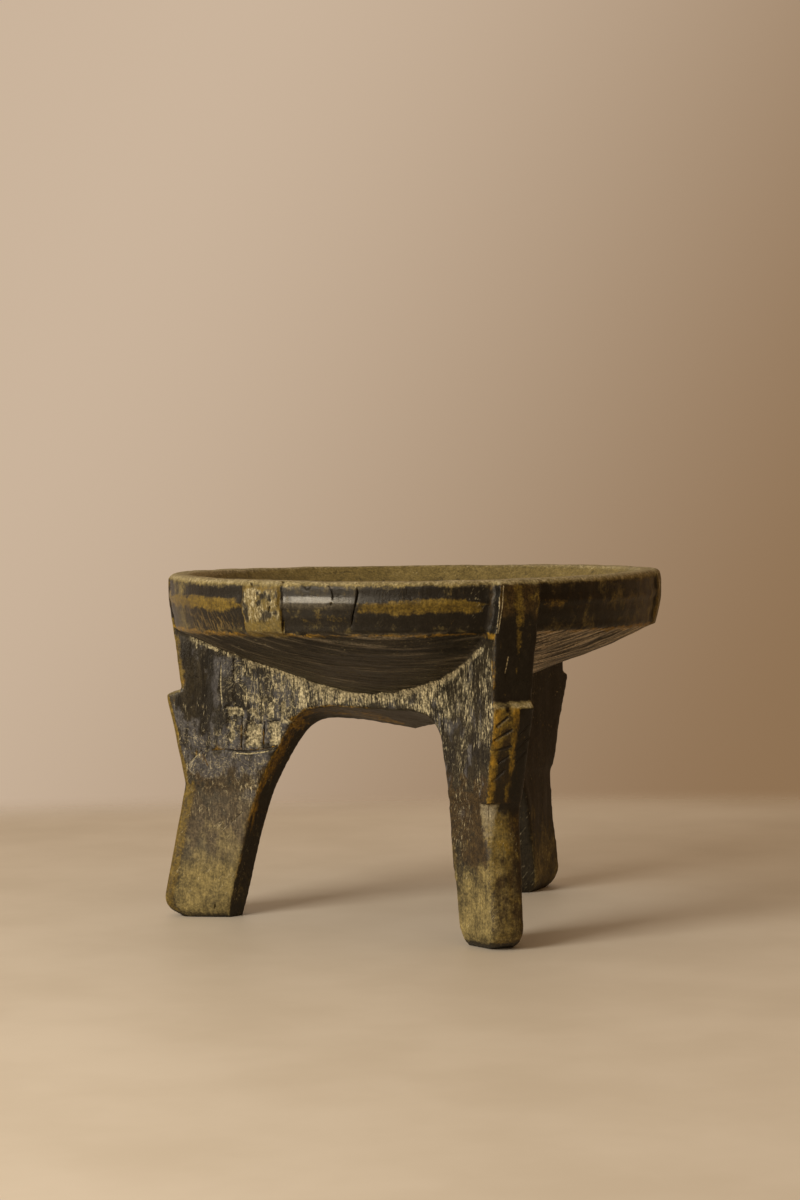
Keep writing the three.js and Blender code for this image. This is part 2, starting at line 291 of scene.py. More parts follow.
KNEE_CUTS = [
    (1.1, 0.8, [(-11.6, -150.8, 130.2), (-5.9, -152, 135.4)]),
    (1.1, 0.8, [(-12, -148.9, 122.3), (-2.9, -150.3, 128.1)]),
    (1, 0.6, [(-10.4, -147.3, 116.2), (-2.4, -147.9, 118.6)]),
    (0.9, 0.5, [(-8.5, -145.5, 108.9), (-3.3, -146.5, 112.8)]),
    (1, 0.5, [(-11.2, -142.8, 98.3), (-4.8, -144.4, 104.7)]),
    (0.6, 0.35, [(1.8, -149.3, 124.6), (8, -150.7, 130.7)]),
    (0.6, 0.35, [(2, -147.3, 117), (8.3, -148.7, 122.6)]),
    (0.6, 0.35, [(2.1, -145.4, 109.4), (7.8, -146.8, 115)]),
]
SCRATCHES = [
    (0.45, 0.4, [(-112.1, 42.6, 157.5), (-112.4, 43.1, 144), (-111.7, 43, 131.5)]),
    (1.1, 0.5, [(-104.3, 38.7, 164), (-104.4, 39, 147.6)]),
    (0.4, 0.35, [(-130.9, 53.4, 95.6), (-123.1, 49.1, 103.7), (-119.3, 47.3, 93.7)]),
    (0.4, 0.35, [(-107.1, 40.6, 59.7), (-101, 37.4, 65.9)]),
    (0.45, 0.4, [(-4.9, -151.3, 169.5), (-6.5, -150.5, 160.5)]),
    (0.6, 0.4, [(-104, 39.5, 102.4), (-98.5, 36.5, 101.9), (-89.9, 32, 102.8),
                (-80.5, 26.4, 105.2)]),
    (0.5, 0.1, [(-11, -152.6, 212.9), (-11.3, -154.3, 207.8), (-11.2, -154.2, 199.3),
                (-11.7, -153.3, 190.8), (-12.2, -152.4, 183.5)]),
    (0.45, 0.2, [(-8.4, -153.6, 212.4), (-8.7, -154.2, 207.7), (-9.4, -154.2, 199.3),
                 (-10.4, -153.3, 190.8), (-11.4, -152.4, 183.5)]),
]
CHIPS = [
    (3, 1.2, (-107.6, -101.6, 210.6)),
    (2.2, 0.9, (-72, -128.2, 212.8)),
    (2.6, 1, (-30.5, -144, 213)),
    (2, 0.8, (-45, -139.5, 212.8)),
    (2.4, 1, (110, -96, 212.8)),
    (3, 1.1, (60, 139, 212.6)),
    (2.6, 1, (-128, 76, 212.6)),
    (3.4, 1.2, (-11.5, -152.6, 140.6)),
    (2.6, 1, (-4, -153.8, 140.4)),
    (2.6, 1, (-13, -118, 0.5)),
    (3, 1, (-98.5, 33.5, 1)),
    (2.4, 1, (7.5, -130.5, 1)),
    (3, 1, (120, 63, 1.5)),
]
lines = CRACKS + SAW_CUTS + KNEE_CUTS + SCRATCHES
print(len(lines), "cut lines and", len(CHIPS), "chips")

# %% [markdown]
# ## A finer net along the cuts
#
# The even net has squares of about a millimetre, and a crack is half of that. A finer net
# all over would be too heavy, so only the faces beside a cut are subdivided.

# %% Subdivide beside the cuts
def distance_to_line(points, line):
    """The distance from every point to a line of several straight stretches."""
    best = np.full(len(points), 1e9)
    for start, end in zip(line[:-1], line[1:]):
        start = np.array(start)
        run = np.array(end) - start
        share = np.clip((points - start) @ run / max(run @ run, 1e-9), 0, 1)
        gap = np.linalg.norm(points - start - share[:, None] * run, axis=1)
        best = np.minimum(best, gap)
    return best


def vectors_of(mesh, name):
    flat = np.empty(3 * len(mesh.vertices))
    mesh.vertices.foreach_get(name, flat)
    return flat.reshape(-1, 3)


skin_points = vectors_of(skin, "co") / MM
beside = np.zeros(len(skin_points), bool)
for width, depth, line in lines:
    beside |= distance_to_line(skin_points, line) < width + 1.0
dough = bmesh.new()
dough.from_mesh(skin)
dough.verts.ensure_lookup_table()
near = [edge for edge in dough.edges if all(beside[vert.index] for vert in edge.verts)]
for _ in range(2):
    for edge in dough.edges:
        edge.tag = False
    made = bmesh.ops.subdivide_edges(dough, edges=near, cuts=1, use_grid_fill=True)
    for element in made["geom_inner"] + made["geom_split"]:
        if isinstance(element, bmesh.types.BMEdge):
            element.tag = True
    near = [edge for edge in dough.edges if edge.tag]
bmesh.ops.triangulate(dough, faces=dough.faces)
dough.normal_update()
dough.to_mesh(skin)
dough.free()
print("refined skin", len(skin.vertices), "points")

# %% [markdown]
# ## Knowing each part of the surface
#
# Paint and wear differ on the dish, the band, the cone under the seat and each face of a leg.
# The faces could be picked by hand, but the net has hundreds of thousands of them. Instead
# each point is measured: its height, its distance from the axis, the leg it is nearest to,
# how far out and how far sideways on that leg it lies, and which way the surface faces.

# %% Measure every point
LEG_AZIMUTHS = [math.radians(angle) for angle in (270, 33.6, 154)]
FRONT, RIGHT, LEFT = 0, 1, 2
STROKE_AZIMUTHS = [math.radians(angle) for angle in (33.6, 154, 345)]
RIM_TOP = 213.0
BAND_RIDGE = 198.4
BAND_BOTTOM = 181.2
KNEE_TOP = 139
KNEE_BOTTOM = 84


def rise(value, low, high):
    """Nought up to the low value, rising smoothly to one at the high one."""
    share = np.clip((value - low) / (high - low), 0, 1)
    return share * share * (3 - 2 * share)


def fall(value, low, high):
    """One up to the low value, falling smoothly to nothing at the high one."""
    return 1 - rise(value, low, high)


def bump_at(value, middle, reach):
    """One at the middle, falling smoothly to nothing at the reach."""
    return fall(np.abs(value - middle), 0, reach)


def along_and_across(x, y, azimuth):
    """Measures of places or directions along an azimuth and across it, seen from above."""
    cosine, sine = np.cos(azimuth), np.sin(azimuth)
    return x * cosine + y * sine, y * cosine - x * sine


class Survey:
    """Every measure of a mesh's points that the carving and the paint ask for."""

    def __init__(self, mesh):
        self.points = vectors_of(mesh, "co") / MM
        self.normals = vectors_of(mesh, "normal")
        pairs = np.empty(2 * len(mesh.edges), int)
        mesh.edges.foreach_get("vertices", pairs)
        self.pairs = pairs.reshape(-1, 2)
        self.degree = np.bincount(self.pairs.ravel(), minlength=len(self.points))
        x = self.points[:, 0]
        y = self.points[:, 1] - SEAT_CENTRE.y / MM
        self.height = self.points[:, 2]
        self.radius = np.hypot(x, y)
        self.azimuth = np.arctan2(y, x)
        out, aside = map(np.stack, zip(*(along_and_across(x, y, angle) for angle in LEG_AZIMUTHS)))
        self.leg = out.argmax(0)
        rows = np.arange(len(self.points))
        self.out = out[self.leg, rows]
        self.aside = aside[self.leg, rows]
        turn = np.array(LEG_AZIMUTHS)[self.leg]
        front, right, left = LEG_AZIMUTHS
        middles = (right + left) / 2, (left + front) / 2, (front + right) / 2 - math.pi
        self.bay = np.stack([along_and_across(x, y, angle)[0] for angle in middles]).argmax(0)
        stroke_turn = np.array(STROKE_AZIMUTHS)[self.bay]
        self.along_strokes, self.across_strokes = along_and_across(x, y, stroke_turn)
        row = (self.height / 2).astype(int)
        reach = np.zeros((3, row.max() + 1))
        np.maximum.at(reach, (self.leg, row), np.where(np.abs(self.aside) < 13, self.out, 0))
        self.from_edge = reach[self.leg, row] - self.out
        self.faces_up = self.normals[:, 2]
        across, along, _ = self.normals.T
        self.faces_out = along_and_across(across, along, turn)[0]
        radial = np.stack([x, y]) / np.maximum(self.radius, 1)
        self.faces_axis = -(across * radial[0] + along * radial[1])

    def mean_of_neighbours(self, values):
        first, second = self.pairs.T
        size = len(self.points)
        total = np.bincount(first, values[second], size) + np.bincount(second, values[first], size)
        return total / self.degree

    def relax(self, values, rounds, strength=0.5):
        """Each round moves every value towards the mean of its neighbours."""
        values = values.astype(float)
        for _ in range(rounds):
            values += strength * (self.mean_of_neighbours(values) - values)
        return values

    def relaxed_points(self, points, rounds, strength=0.5):
        return np.stack([self.relax(column, rounds, strength) for column in points.T], axis=1)

    def wander(self, size, amount=1, seed=0):
        """Soft random hills about as wide as the size given, in millimetres on x, y and z."""
        return self.wander_on(self.points / np.array(size) + seed, amount)

    def patches(self, size, seed=0, octaves=4):
        """Patches with frayed edges: every value from nought to one is as common as the next."""
        spots = (self.points / np.array(size) + seed).tolist()
        values = np.fromiter(
            (noise.fractal(spot, 0.7, 2.1, octaves) for spot in spots), float, len(spots))
        return values.argsort().argsort() / len(spots)

    def wander_on(self, spots, amount=1):
        """Soft random hills on measures of its own, one row of three for each point."""
        return amount * np.fromiter((noise.noise(spot) for spot in spots.tolist()), float, len(spots))

    def adze_strokes(self, length, width, amount, seed=0):
        """Long hills that lie the way the adze went in each bay between two legs."""
        spots = [self.along_strokes / length, self.across_strokes / width, self.bay * 9.0 + seed]
        return self.wander_on(np.stack(spots, axis=1), amount)


DISH_DEPTH = 22
DISH_MIDDLE = 14
DISH_SLOPE = 124.3
CONE_TIP = 124
CONE_RISE = 0.365


def dish_floor(radius):
    share = np.clip((radius - DISH_MIDDLE) / DISH_SLOPE, 0, 1)
    return RIM_TOP - DISH_DEPTH + DISH_DEPTH * (0.3 * share ** 2 + 0.7 * share ** 12)


def cone_height(radius):
    return CONE_TIP + CONE_RISE * radius


class Regions:
    """How much each point belongs to each part of the stool, from nought to one."""

    def __init__(self, at):
        upright = fall(np.abs(at.faces_up), 0.35, 0.75)
        self.dish = rise(at.height - dish_floor(at.radius), -3, -1.5) * (at.radius < 139)
        self.rim_top = rise(at.height, 209.5, 212) * rise(at.radius, 133, 137)
        in_spine = rise(-np.abs(at.aside), -15.5, -13)
        front_of = rise(at.faces_out, 0.45, 0.8) * (at.out > 112)
        self.outer = front_of * in_spine * (at.height < 211.5)
        edge_of_band = rise(at.radius, 141, 144) * rise(at.height, 177, 180)
        self.band = edge_of_band * (1 - self.outer) * (1 - self.rim_top) * (1 - self.dish)
        below_seat = fall(at.height - cone_height(at.radius), -3.5, -1.5)
        self.under = fall(at.faces_up, -0.75, -0.5) * (1 - below_seat)
        self.under *= (at.height < 184) * (at.radius < 149.5)
        towards_axis = rise(at.faces_axis, 0.3, 0.62) * (at.height < 120)
        ceiling = fall(at.faces_up, -0.75, -0.45) * below_seat * (at.height > 3)
        self.inner = np.maximum(towards_axis, ceiling)
        self.side = upright * below_seat * (1 - self.outer) * (1 - self.inner)
        self.side *= at.height < 186
        self.ledge = rise(at.faces_up, 0.15, 0.55) * (at.height > 120) * (at.height < 160)


print("legs at", [round(math.degrees(angle), 1) for angle in LEG_AZIMUTHS])

# %% [markdown]
# ## Wearing the edges
#
# Handling rounds an old stool: the corners of the feet and the outer corners of the left leg
# most, the ledges and the band least. A bevel gives every edge the same width. Relaxing,
# which pulls each point towards its neighbours, rounds edges and leaves flat faces alone, and
# it can be stronger in one place than in another. Each foot is first tucked in at its sole, as
# its lowest corners have worn round on floors.

# %% Relax the edges
TUCK_HEIGHT = 12
TUCK_IN = 8
TUCK_ASIDE = 3

at = Survey(skin)
corner = bump_at(at.out, 150, 16) * bump_at(np.abs(at.aside), 11.5, 6) * (at.height < KNEE_TOP)
feet = fall(at.height, 4, 14)
band_edges = rise(at.radius, 141, 145) * (at.height > 176)
ledges = bump_at(at.height, 142, 7) * (at.out > 138)
softness = 0.45 - 0.2 * np.maximum(band_edges, ledges)
low = np.clip(1 - at.height / TUCK_HEIGHT, 0, 1)
tuck = 1 - np.sqrt(1 - low ** 2)
turn = np.array(LEG_AZIMUTHS)[at.leg]
outwards = np.stack([np.cos(turn), np.sin(turn), 0 * turn], axis=1)
sideways = np.stack([-np.sin(turn), np.cos(turn), 0 * turn], axis=1)
tuck_in = TUCK_IN * tuck * fall(at.from_edge, 0, 24)
tuck_aside = TUCK_ASIDE * tuck * np.sign(at.aside) * rise(np.abs(at.aside), 4, 14)
moved = at.points - outwards * tuck_in[:, None] - sideways * tuck_aside[:, None]
moved = at.relaxed_points(moved, 5, softness)
extra = np.clip(corner * (at.leg == LEFT) + 0.35 * corner + 0.3 * feet, 0, 1) * 0.5
moved = at.relaxed_points(moved, 26, extra)
moved[:, 2] = np.where(at.height < 0.8, at.height, moved[:, 2])
skin.vertices.foreach_set("co", (moved * MM).ravel())
skin.update()
print("largest move", round(float(np.linalg.norm(moved - at.points, axis=1).max()), 2), "mm")

# %% [markdown]
# ## Carving the surface
#
# A hand-cut surface is never even. Long soft hills come first, then the strokes of the adze:
# upright on the legs, fanning out from the middle on the cone. The broken grain of the boss
# and of the patch on the left leg goes deeper. All of it could be bump in the material, but
# then the outline would stay smooth, so the points themselves move along their normals.

# %% Raise the soft hills and the strokes
at = Survey(skin)
where = Regions(at)
legs_only = np.clip(where.side + where.outer + where.inner, 0, 1)
lift = at.wander((26, 26, 34), 0.5)
lift += at.wander((8, 8, 15), 0.22, 7.3)
lift *= 1 - 0.6 * np.maximum(where.dish, where.band)
lift += legs_only * at.wander((5, 5, 46), 0.3, 3.1)

lift += where.under * (at.adze_strokes(70, 5.5, 0.9, 1.7) + at.adze_strokes(35, 2.4, 0.4, 6.1))
print("hills from", round(float(lift.min()), 2), "to", round(float(lift.max()), 2), "mm")

# %% Break the grain and raise the bead
# Each block: from and to outwards along the leg, then from and to in height.
SPLIT_BLOCKS = [
    (93.6, 103.2, 105.6, 121.5), (81.7, 89.2, 107.5, 121.5), (105, 115.5, 126.2, 130.6),
    (111.2, 114.4, 107, 124), (78.8, 82.2, 121, 134), (68, 79.5, 120, 123),
    (96, 100.5, 124.5, 131), (86, 90.5, 124.5, 135),
]


def on_split_blocks():
    """Where the skin has split off the left leg."""
    share = np.zeros(len(at.points))
    fray = at.wander((2.2, 2.2, 3), 2.4, 14)
    for inner_end, outer_end, bottom, top in SPLIT_BLOCKS:
        beyond = np.maximum(
            np.abs(at.out - (inner_end + outer_end) / 2) - (outer_end - inner_end) / 2,
            np.abs(at.height - (bottom + top) / 2) - (top - bottom) / 2)
        share = np.maximum(share, fall(beyond + fray, -0.5, 0.5))
    return share * (at.leg == LEFT) * (at.aside > 0)


split = on_split_blocks() * where.side
grain = at.wander((1.6, 1.6, 9), 1, 5)
web = where.side * rise(-at.out, -92, -70) * (at.height > 108)
rough = np.clip(split + 0.6 * web, 0, 1)
lift += rough * (0.35 * grain - 0.15)
lift -= 0.9 * split

BOSS_AZIMUTHS = (212.3, 330.5, 93)


def on_bosses():
    """Where the three low bosses of the band lie."""
    share = np.zeros(len(at.points))
    for azimuth in BOSS_AZIMUTHS:
        turned = np.angle(np.exp(1j * (at.azimuth - math.radians(azimuth))))
        share = np.maximum(share, (np.abs(turned) * at.radius < 14) * where.band)
    return share


boss = on_bosses()
bead = 0.85 * bump_at(at.height, 200.6, 4.2) - 0.6
bead *= rise(at.height, 184, 188) * fall(at.height, 206, 210)
lift += where.band * (1 - boss) * bead
broken = rise(at.wander((3.5, 3.5, 9), 1, 9.4), -0.25, 0.35)
boss *= np.where(at.bay == 1, 1, 0.35)
lift += boss * (0.9 * broken - 0.8) * rise(at.height, 186, 194)
lift += boss * at.wander((1.8, 1.8, 3), 0.25, 4.4)
print("share of split blocks", round(float(split.mean()), 4))

# %% Cut the marks and move the points
front_face = where.outer * (at.leg == FRONT) * (at.height < KNEE_TOP)
lift += front_face * (1.5 * (1 - np.abs(at.aside + 1.5) / 12) - 0.6)


def on_bevel(widest=7.5):
    """How deep each point lies in the worn corner at the top of the front shin, in millimetres."""
    reach = widest * np.clip((at.height - 34) / 50, 0, 1)
    depth = np.clip(reach - (at.from_edge + at.aside + 14.3), 0, 4)
    return depth * (at.leg == FRONT) * (at.height < KNEE_BOTTOM + 0.5) * (at.aside < 0)


lift -= 0.6 * on_bevel()

cut = np.zeros(len(at.points))
for width, depth, line in lines:
    gap = distance_to_line(at.points, line)
    cut = np.maximum(cut, depth * fall(gap, 0.25 * width, 1.25 * width))
for reach, depth, middle in CHIPS:
    gap = np.linalg.norm(at.points - np.array(middle), axis=1)
    cut = np.maximum(cut, depth * fall(gap, 0.35 * reach, reach))
lift -= cut
lift *= rise(at.height, 0.3, 2.5)
carved = at.points + lift[:, None] * at.normals
carved[:, 2] = np.maximum(carved[:, 2], 0)
skin.vertices.foreach_set("co", (carved * MM).ravel())
skin.update()
print("lift from", round(float(lift.min()), 2), "to", round(float(lift.max()), 2), "mm")

# %% [markdown]
# ## A lighter net
#
# The carved net has over half a million triangles. A piece stays under two hundred thousand, so
# Decimate joins triangles where the surface is nearly flat and keeps them where it is carved.

# %% Thin the net
MOST_TRIANGLES = 194000

thin = carving.modifiers.new("thin", "DECIMATE")
thin.ratio = MOST_TRIANGLES / len(skin.polygons)
skin = bake_modifiers(carving)
skin.polygons.foreach_set("use_smooth", np.ones(len(skin.polygons), bool))
skin.update()
print("triangles", len(skin.polygons))

# %% [markdown]
# ## Painting the patina
#
# The dark skin, its worn stripes and the bare feet could each be a noise in the material, but
# then they would fall anywhere. Here every point gets a share of each tone, worked out from
# where it lies, and the material only frays the borders of those patches. First the edges are
# found: where a relaxed copy of the surface sinks below the real one it is a ridge that hands
# rub bare, and where it rises above, a hollow that keeps dirt.

# %% Find ridges and hollows
at = Survey(skin)
where = Regions(at)
for name, values in vars(where).items():
    setattr(where, name, at.relax(np.asarray(values, float), 3))
height, radius, out, aside, leg = at.height, at.radius, at.out, at.aside, at.leg
dish, rim_top, outer, band, under, inner, side, ledge = vars(where).values()


def near_lines(chosen):
    """One on the lines given, fading to nothing beside them."""
    share = np.zeros(len(at.points))
    for width, depth, line in chosen:
        gap = distance_to_line(at.points, line)
        share = np.maximum(share, fall(gap, 0.3 * width, 1.2 * width))
    return share


in_cut = near_lines(CRACKS + SAW_CUTS + KNEE_CUTS)
in_scratch = near_lines(SCRATCHES)
relaxed = at.relaxed_points(at.points, 8)
bulge = ((at.points - relaxed) * at.normals).sum(axis=1)
bulge = at.relax(bulge, 1) * (1 - np.clip(in_cut + in_scratch, 0, 1))
ridge = rise(bulge, 0.07, 0.3)
hollow = rise(-bulge, 0.05, 0.25)
print("ridge share", round(float(ridge.mean()), 3), "hollow share", round(float(hollow.mean()), 3))

# %% [markdown]
# ## Patches with frayed borders
#
# A worn patch is not a soft cloud: it is there or it is not, with a frayed border. A share can
# be turned into such patches by comparing it with a pattern: where the pattern stands above
# one minus the share, the tone is there. Patches lie flat along the band, because hands and
# floors rub it sideways, and stand upright on the legs, because the grain runs that way.

# %% Make the patterns
round_rim = np.degrees(at.azimuth) % 360
flat = at.patches((16, 16, 4.5), 3, 3)
flat_small = at.patches((7, 7, 3.2), 5, 2)
blotches = at.patches((15, 15, 17), 12, 3)
tall_patches = at.patches((5, 5, 24), 8, 2)
small = at.patches((5.5, 5.5, 6.5), 17, 2)
slow = at.wander((45, 45, 45), 1, 23)


def ranked(pattern):
    """Spreads a mix of patterns evenly over nought to one again."""
    return pattern.argsort().argsort() / len(pattern)


def covers(share, pattern, softness=0.2):
    """One where the pattern lets the tone through: the share says how much is covered."""
    share = np.clip(share, 0, 1) * (1 + 2 * softness) - softness
    return rise(share + pattern - 1, -softness, softness)


def sector(start, end, fade=1.2):
    """One between two directions round the rim, in degrees, with a short fade at both ends."""
    off = np.abs((round_rim - (start + end) / 2 + 180) % 360 - 180)
    return fall(off - (end - start) / 2, -fade, fade)


def close_to(value, middle, full, none):
    """One within the full distance of the middle, nothing beyond the other."""
    return fall(np.abs(value - middle), full, none)


print("patterns for", len(at.points), "points")

# %% [markdown]
# ## The band
#
# The band is near black, with a golden stripe where its mid-height ridge is rubbed, an orange
# line on its lower edge and an olive, nicked upper edge. The stripe is strong at the left
# end and between the crack and the front leg, and weak on the right. A short list of
# directions and strengths round the rim says so. Each tone keeps its share on every point,
# and is painted on or wiped away step by step.

# %% Keep a share of each tone
shares = {}


def paint(**tones):
    """Lays tones on the points that have less of them."""
    for name, share in tones.items():
        shares[name] = np.maximum(shares.get(name, 0), share)


def wipe(share, *names):
    """Takes part of the tones away again."""
    for name in names:
        shares[name] = shares[name] * (1 - share)


# %% Paint the band
STRIPE_STRENGTH = [
    (20, 0.3), (70, 0.75), (110, 0.5), (150, 0.8), (172, 0.9), (200, 0.9), (207, 0.5), (219, 0),
    (234, 0.1), (239, 0.95), (261, 0.9), (266, 0.1), (278, 0.4), (300, 0.35), (325, 0.15), (350, 0.6),
]
strength = np.interp(round_rim, *zip(*STRIPE_STRENGTH), period=360)
off_ridge = np.abs(height - BAND_RIDGE - 1.6 * slow)
stripe = covers(strength * fall(off_ridge, 0.6, 6.5), ranked(flat + 0.5 * small), 0.4)
right_part = sector(276, 345, 6)
upper_edge = covers(0.8 * rise(height, 205, 214), ranked(flat_small + small), 0.45)
lower_edge = covers(0.85 * close_to(height, BAND_BOTTOM, 0.6, 2.6), flat_small)
boss_share = at.relax(on_bosses(), 2)
boss_rim = boss_share * fall(at.relax(on_bosses(), 12), 0.7, 0.92)

waxy = sector(215, 234, 4) * band * (1 - boss_share)
dusty_end = sector(172, 184, 5) * band

paint(tar=band * (1 - 0.9 * stripe) * (1 - upper_edge))
wipe(0.45 * right_part * covers(0.6, tall_patches, 0.4), "tar")
paint(olive=band * upper_edge * (1 - 0.5 * covers(0.45, small)))
paint(olive=0.42 * band * right_part * covers(0.5, ranked(small + blotches), 0.6))
paint(olive=dusty_end * (0.22 + 0.3 * blotches))
low_part = band * fall(height, 184, 192) * (1 - right_part)
paint(olive=0.5 * low_part * covers(0.4, ranked(flat + small), 0.6))
paint(gold=band * np.maximum(0.85 * stripe, 0.8 * lower_edge * covers(0.5, small)))
paint(orange=band * lower_edge * 0.8)
paint(haze=0.04 * dusty_end + 0.15 * sector(322, 340, 8) * band)
# Painted highlight: a pale warm haze round the band's narrow highlight, softening its edges.
paint(haze=0.28 * waxy * close_to(height, 200, 1, 3.6))
waxy_wear = covers(0.5 * close_to(height, 193, 2, 8), ranked(flat_small + small), 0.5)
paint(gold=0.5 * waxy * waxy_wear)
paint(olive=0.4 * waxy * covers(0.45, ranked(flat + small), 0.6))
# Painted reflection: blue-grey on the upper band beside its highlight.
paint(grey=band * waxy * (height > 199) * covers(0.6, blotches))
paint(bare=band * covers(0.05 * rise(height, 202, 207), flat_small))
thin_skin = np.maximum(0.8 * fall(off_ridge, 3, 9) * strength, 0.6 * right_part)
paint(rust=band * thin_skin)
paint(strokes=0.75 * sector(180, 203, 4) * fall(height, 190, 197) * band)
print("band stripe", round(float((stripe * band).mean()), 3))

# %% [markdown]
# ## The three bosses
#
# Each boss is a low square pad with broken, open grain: rubbed golden on its rim, dusty grey
# in the middle, with dirt in the deepest places.

# %% Paint the bosses
boss_core = boss_share * (1 - boss_rim)
wipe(boss_share, "gold", "olive", "tar", "orange", "bare")
paint(gold=boss_share * (0.45 + 0.55 * np.clip(boss_rim * 1.5, 0, 1)), olive=0.9 * boss_share)
paint(fleck=0.5 * boss_core * rise(height, 184, 192))
paint(bare=0.65 * boss_core * covers(0.42, small) * rise(height, 188, 196))
print("boss share", round(float(boss_share.mean()), 4))

# %% [markdown]
# ## Seat, rim and underside
#
# The dish and the top of the rim are an even, handled olive brown with faint mottling; the
# dish is lightened towards its left as painted light, and the rim's top as a painted highlight.
# The cone under the seat is dark, darker towards the band partly as painted shade, with pale
# dusty strokes left by the adze, and a ragged cream line of dust marks where it meets the legs.

# %% Paint the seat and the underside
seat = np.clip(dish + rim_top, 0, 1)
wipe(seat, "tar", "gold", "orange")
paint(olive=seat, tar=0.22 * seat * covers(0.3, blotches))
leftwards = -at.points[:, 0]
# Painted light: the dish grows lighter to the left, where it is turned from the light; the rim's top
# gets a painted highlight.
seat_dust_and_painted_light = dish * (0.15 + 0.85 * rise(leftwards, -20, 110)) * (0.7 + 0.3 * blotches)
seat_dust_and_painted_light = np.maximum(seat_dust_and_painted_light, rim_top)

broad_strokes = at.adze_strokes(70, 5.5, 1, 1.7) + 0.7 * at.adze_strokes(35, 2.4, 1, 6.1)
right_bay = at.relax((at.bay == 2).astype(float), 4)
gap = cone_height(radius) - height
blade_marks = 0.16 + 0.52 * rise(broad_strokes, -0.1, 0.35) + 0.72 * right_bay
paint(adzed=under * blade_marks)
# Darker towards the band: the dark skin there is partly painted shade under the band's overhang.
paint(tar=under * (1 - right_bay) * (0.35 + 0.4 * rise(radius, 100, 140)))
grooves = np.stack([at.along_strokes / 12, at.across_strokes, at.bay * 70.0], axis=1) * MM
skin.attributes.new("grooves", "FLOAT_VECTOR", "POINT").data.foreach_set("vector", grooves.ravel())
print("seat share", round(float(seat.mean()), 3))

# %% [markdown]
# ## Spines, knees and shins
#
# The outer face of a leg is black on the spine, with a golden streak down its middle from the
# gold-brown top. The knee is amber along its left edge and its middle ridge, and dark between
# and to the right. The shin below is brown. On knee and shin the left half, which faces the
# light, has painted light, and the right half painted shade.

# %% Paint the outer faces
spine = outer * (height >= KNEE_TOP)
above_shin = rise(height, KNEE_BOTTOM, KNEE_BOTTOM + 2)
knee = outer * above_shin * (height < KNEE_TOP + 2)
shin = outer * (1 - above_shin)
sway = aside + 2.0 * (tall_patches - 0.5)
top_share = rise(height, 178, 204)
streak_width = 0.8 + 3.4 * rise(height, 158, 196)
streak = fall(np.abs(sway - 1), 0.2 * streak_width, streak_width)
streak *= rise(height, 146, 170)
# Painted light and shade: the left half of knee and shin, facing the light, gets more gold and olive.
lit_half = fall(sway, -1, 3)

left_edge = close_to(aside, -13, 0.8, 6)
right_edge = close_to(aside, 12.8, 1, 2.6)
middle_ridge = close_to(sway, -1.6, 0.4, 2.8)
knee_top = rise(height, 104, 128)
knee_gold = (0.05 + (0.12 + 0.4 * knee_top) * lit_half + 0.7 * left_edge
             + 0.5 * middle_ridge + 0.6 * right_edge)
paint(rust=outer * np.maximum(0.9 * top_share, height < 140))
paint(tar=spine * (1 - 0.85 * covers(top_share, ranked(small + 0.5 * blotches), 0.6)))
# Painted shade: more tar on the right half of the knee and the shin.
paint(tar=knee * (0.55 + 0.4 * (1 - lit_half)) * covers(0.8, small, 0.3))
paint(tar=shin * 0.5 * (1 - lit_half) * covers(0.6, blotches, 0.4))
paint(olive=spine * 0.35 * covers(0.6 * top_share, small, 0.5))
paint(olive=shin * (0.35 + 0.35 * lit_half) * covers(0.75, ranked(blotches + small), 0.5))
paint(gold=spine * np.maximum(0.7 * streak, 0.6 * covers(0.45 * top_share, small, 0.5)))
paint(gold=0.85 * knee * covers(knee_gold, small, 0.7))
paint(gold=shin * 0.7 * covers(0.5, small, 0.6))
knee_amber = 0.62 * left_edge + 0.5 * right_edge + 0.4 * middle_ridge + 0.15 * knee_top * lit_half
paint(orange=knee * knee_amber * (0.7 + 0.4 * small))
spine_edges = close_to(aside, -13.6, 0.3, 1.6) + 0.4 * right_edge
paint(orange=spine * spine_edges * (0.3 + 0.4 * tall_patches) * (height < 184))

bevelled = rise(on_bevel(9.4), 0.1, 1.8)
paint(haze=0.9 * bevelled * rise(height, 44, 72))
wipe(bevelled * rise(height, 40, 62), "gold")
paint(olive=bevelled)
wipe(bevelled, "tar")
notch = close_to(aside, -7, 3, 5) * (at.from_edge < 3)
ledge_dust = ledge * (1 - 0.45 * notch)
# Painted shadow: the top of the shin under the knee's overhang, darkened later.
painted_shadow_under_knee = shin * rise(height, 73, 82) * (aside > -9) * covers(0.75, tall_patches)
print("knee share", round(float(knee.mean()), 4))

# %% [markdown]
# ## The sides of the legs
#
# The flat sides are the richest part: a blue-grey bloom on black, partly a painted reflection
# of the light that is strongest on the left leg and higher up, rust where the skin is thin,
# fine pale flecks where the upright grain has opened, and on the left leg curling cream
# crackle round blocks that split away.

# %% Paint the sides
climb = rise(height, 55, 100)
# The grey is a real bloom and a painted reflection of the light from the left, strongest on the left
# leg.
bloom_and_reflection = np.choose(leg, [0.35, 0.1, 0.62])
bloom_and_reflection = bloom_and_reflection * climb * (1 - 0.35 * rise(height, 135, 160))
paint(grey=side * covers(bloom_and_reflection, blotches, 0.3))
paint(tar=side * 0.85 * covers(0.42 * rise(height, 80, 120), tall_patches))
paint(tar=0.55 * (side + inner) * (leg == RIGHT))
paint(rust=side * covers(0.75 * close_to(height, 72, 20, 40), blotches))

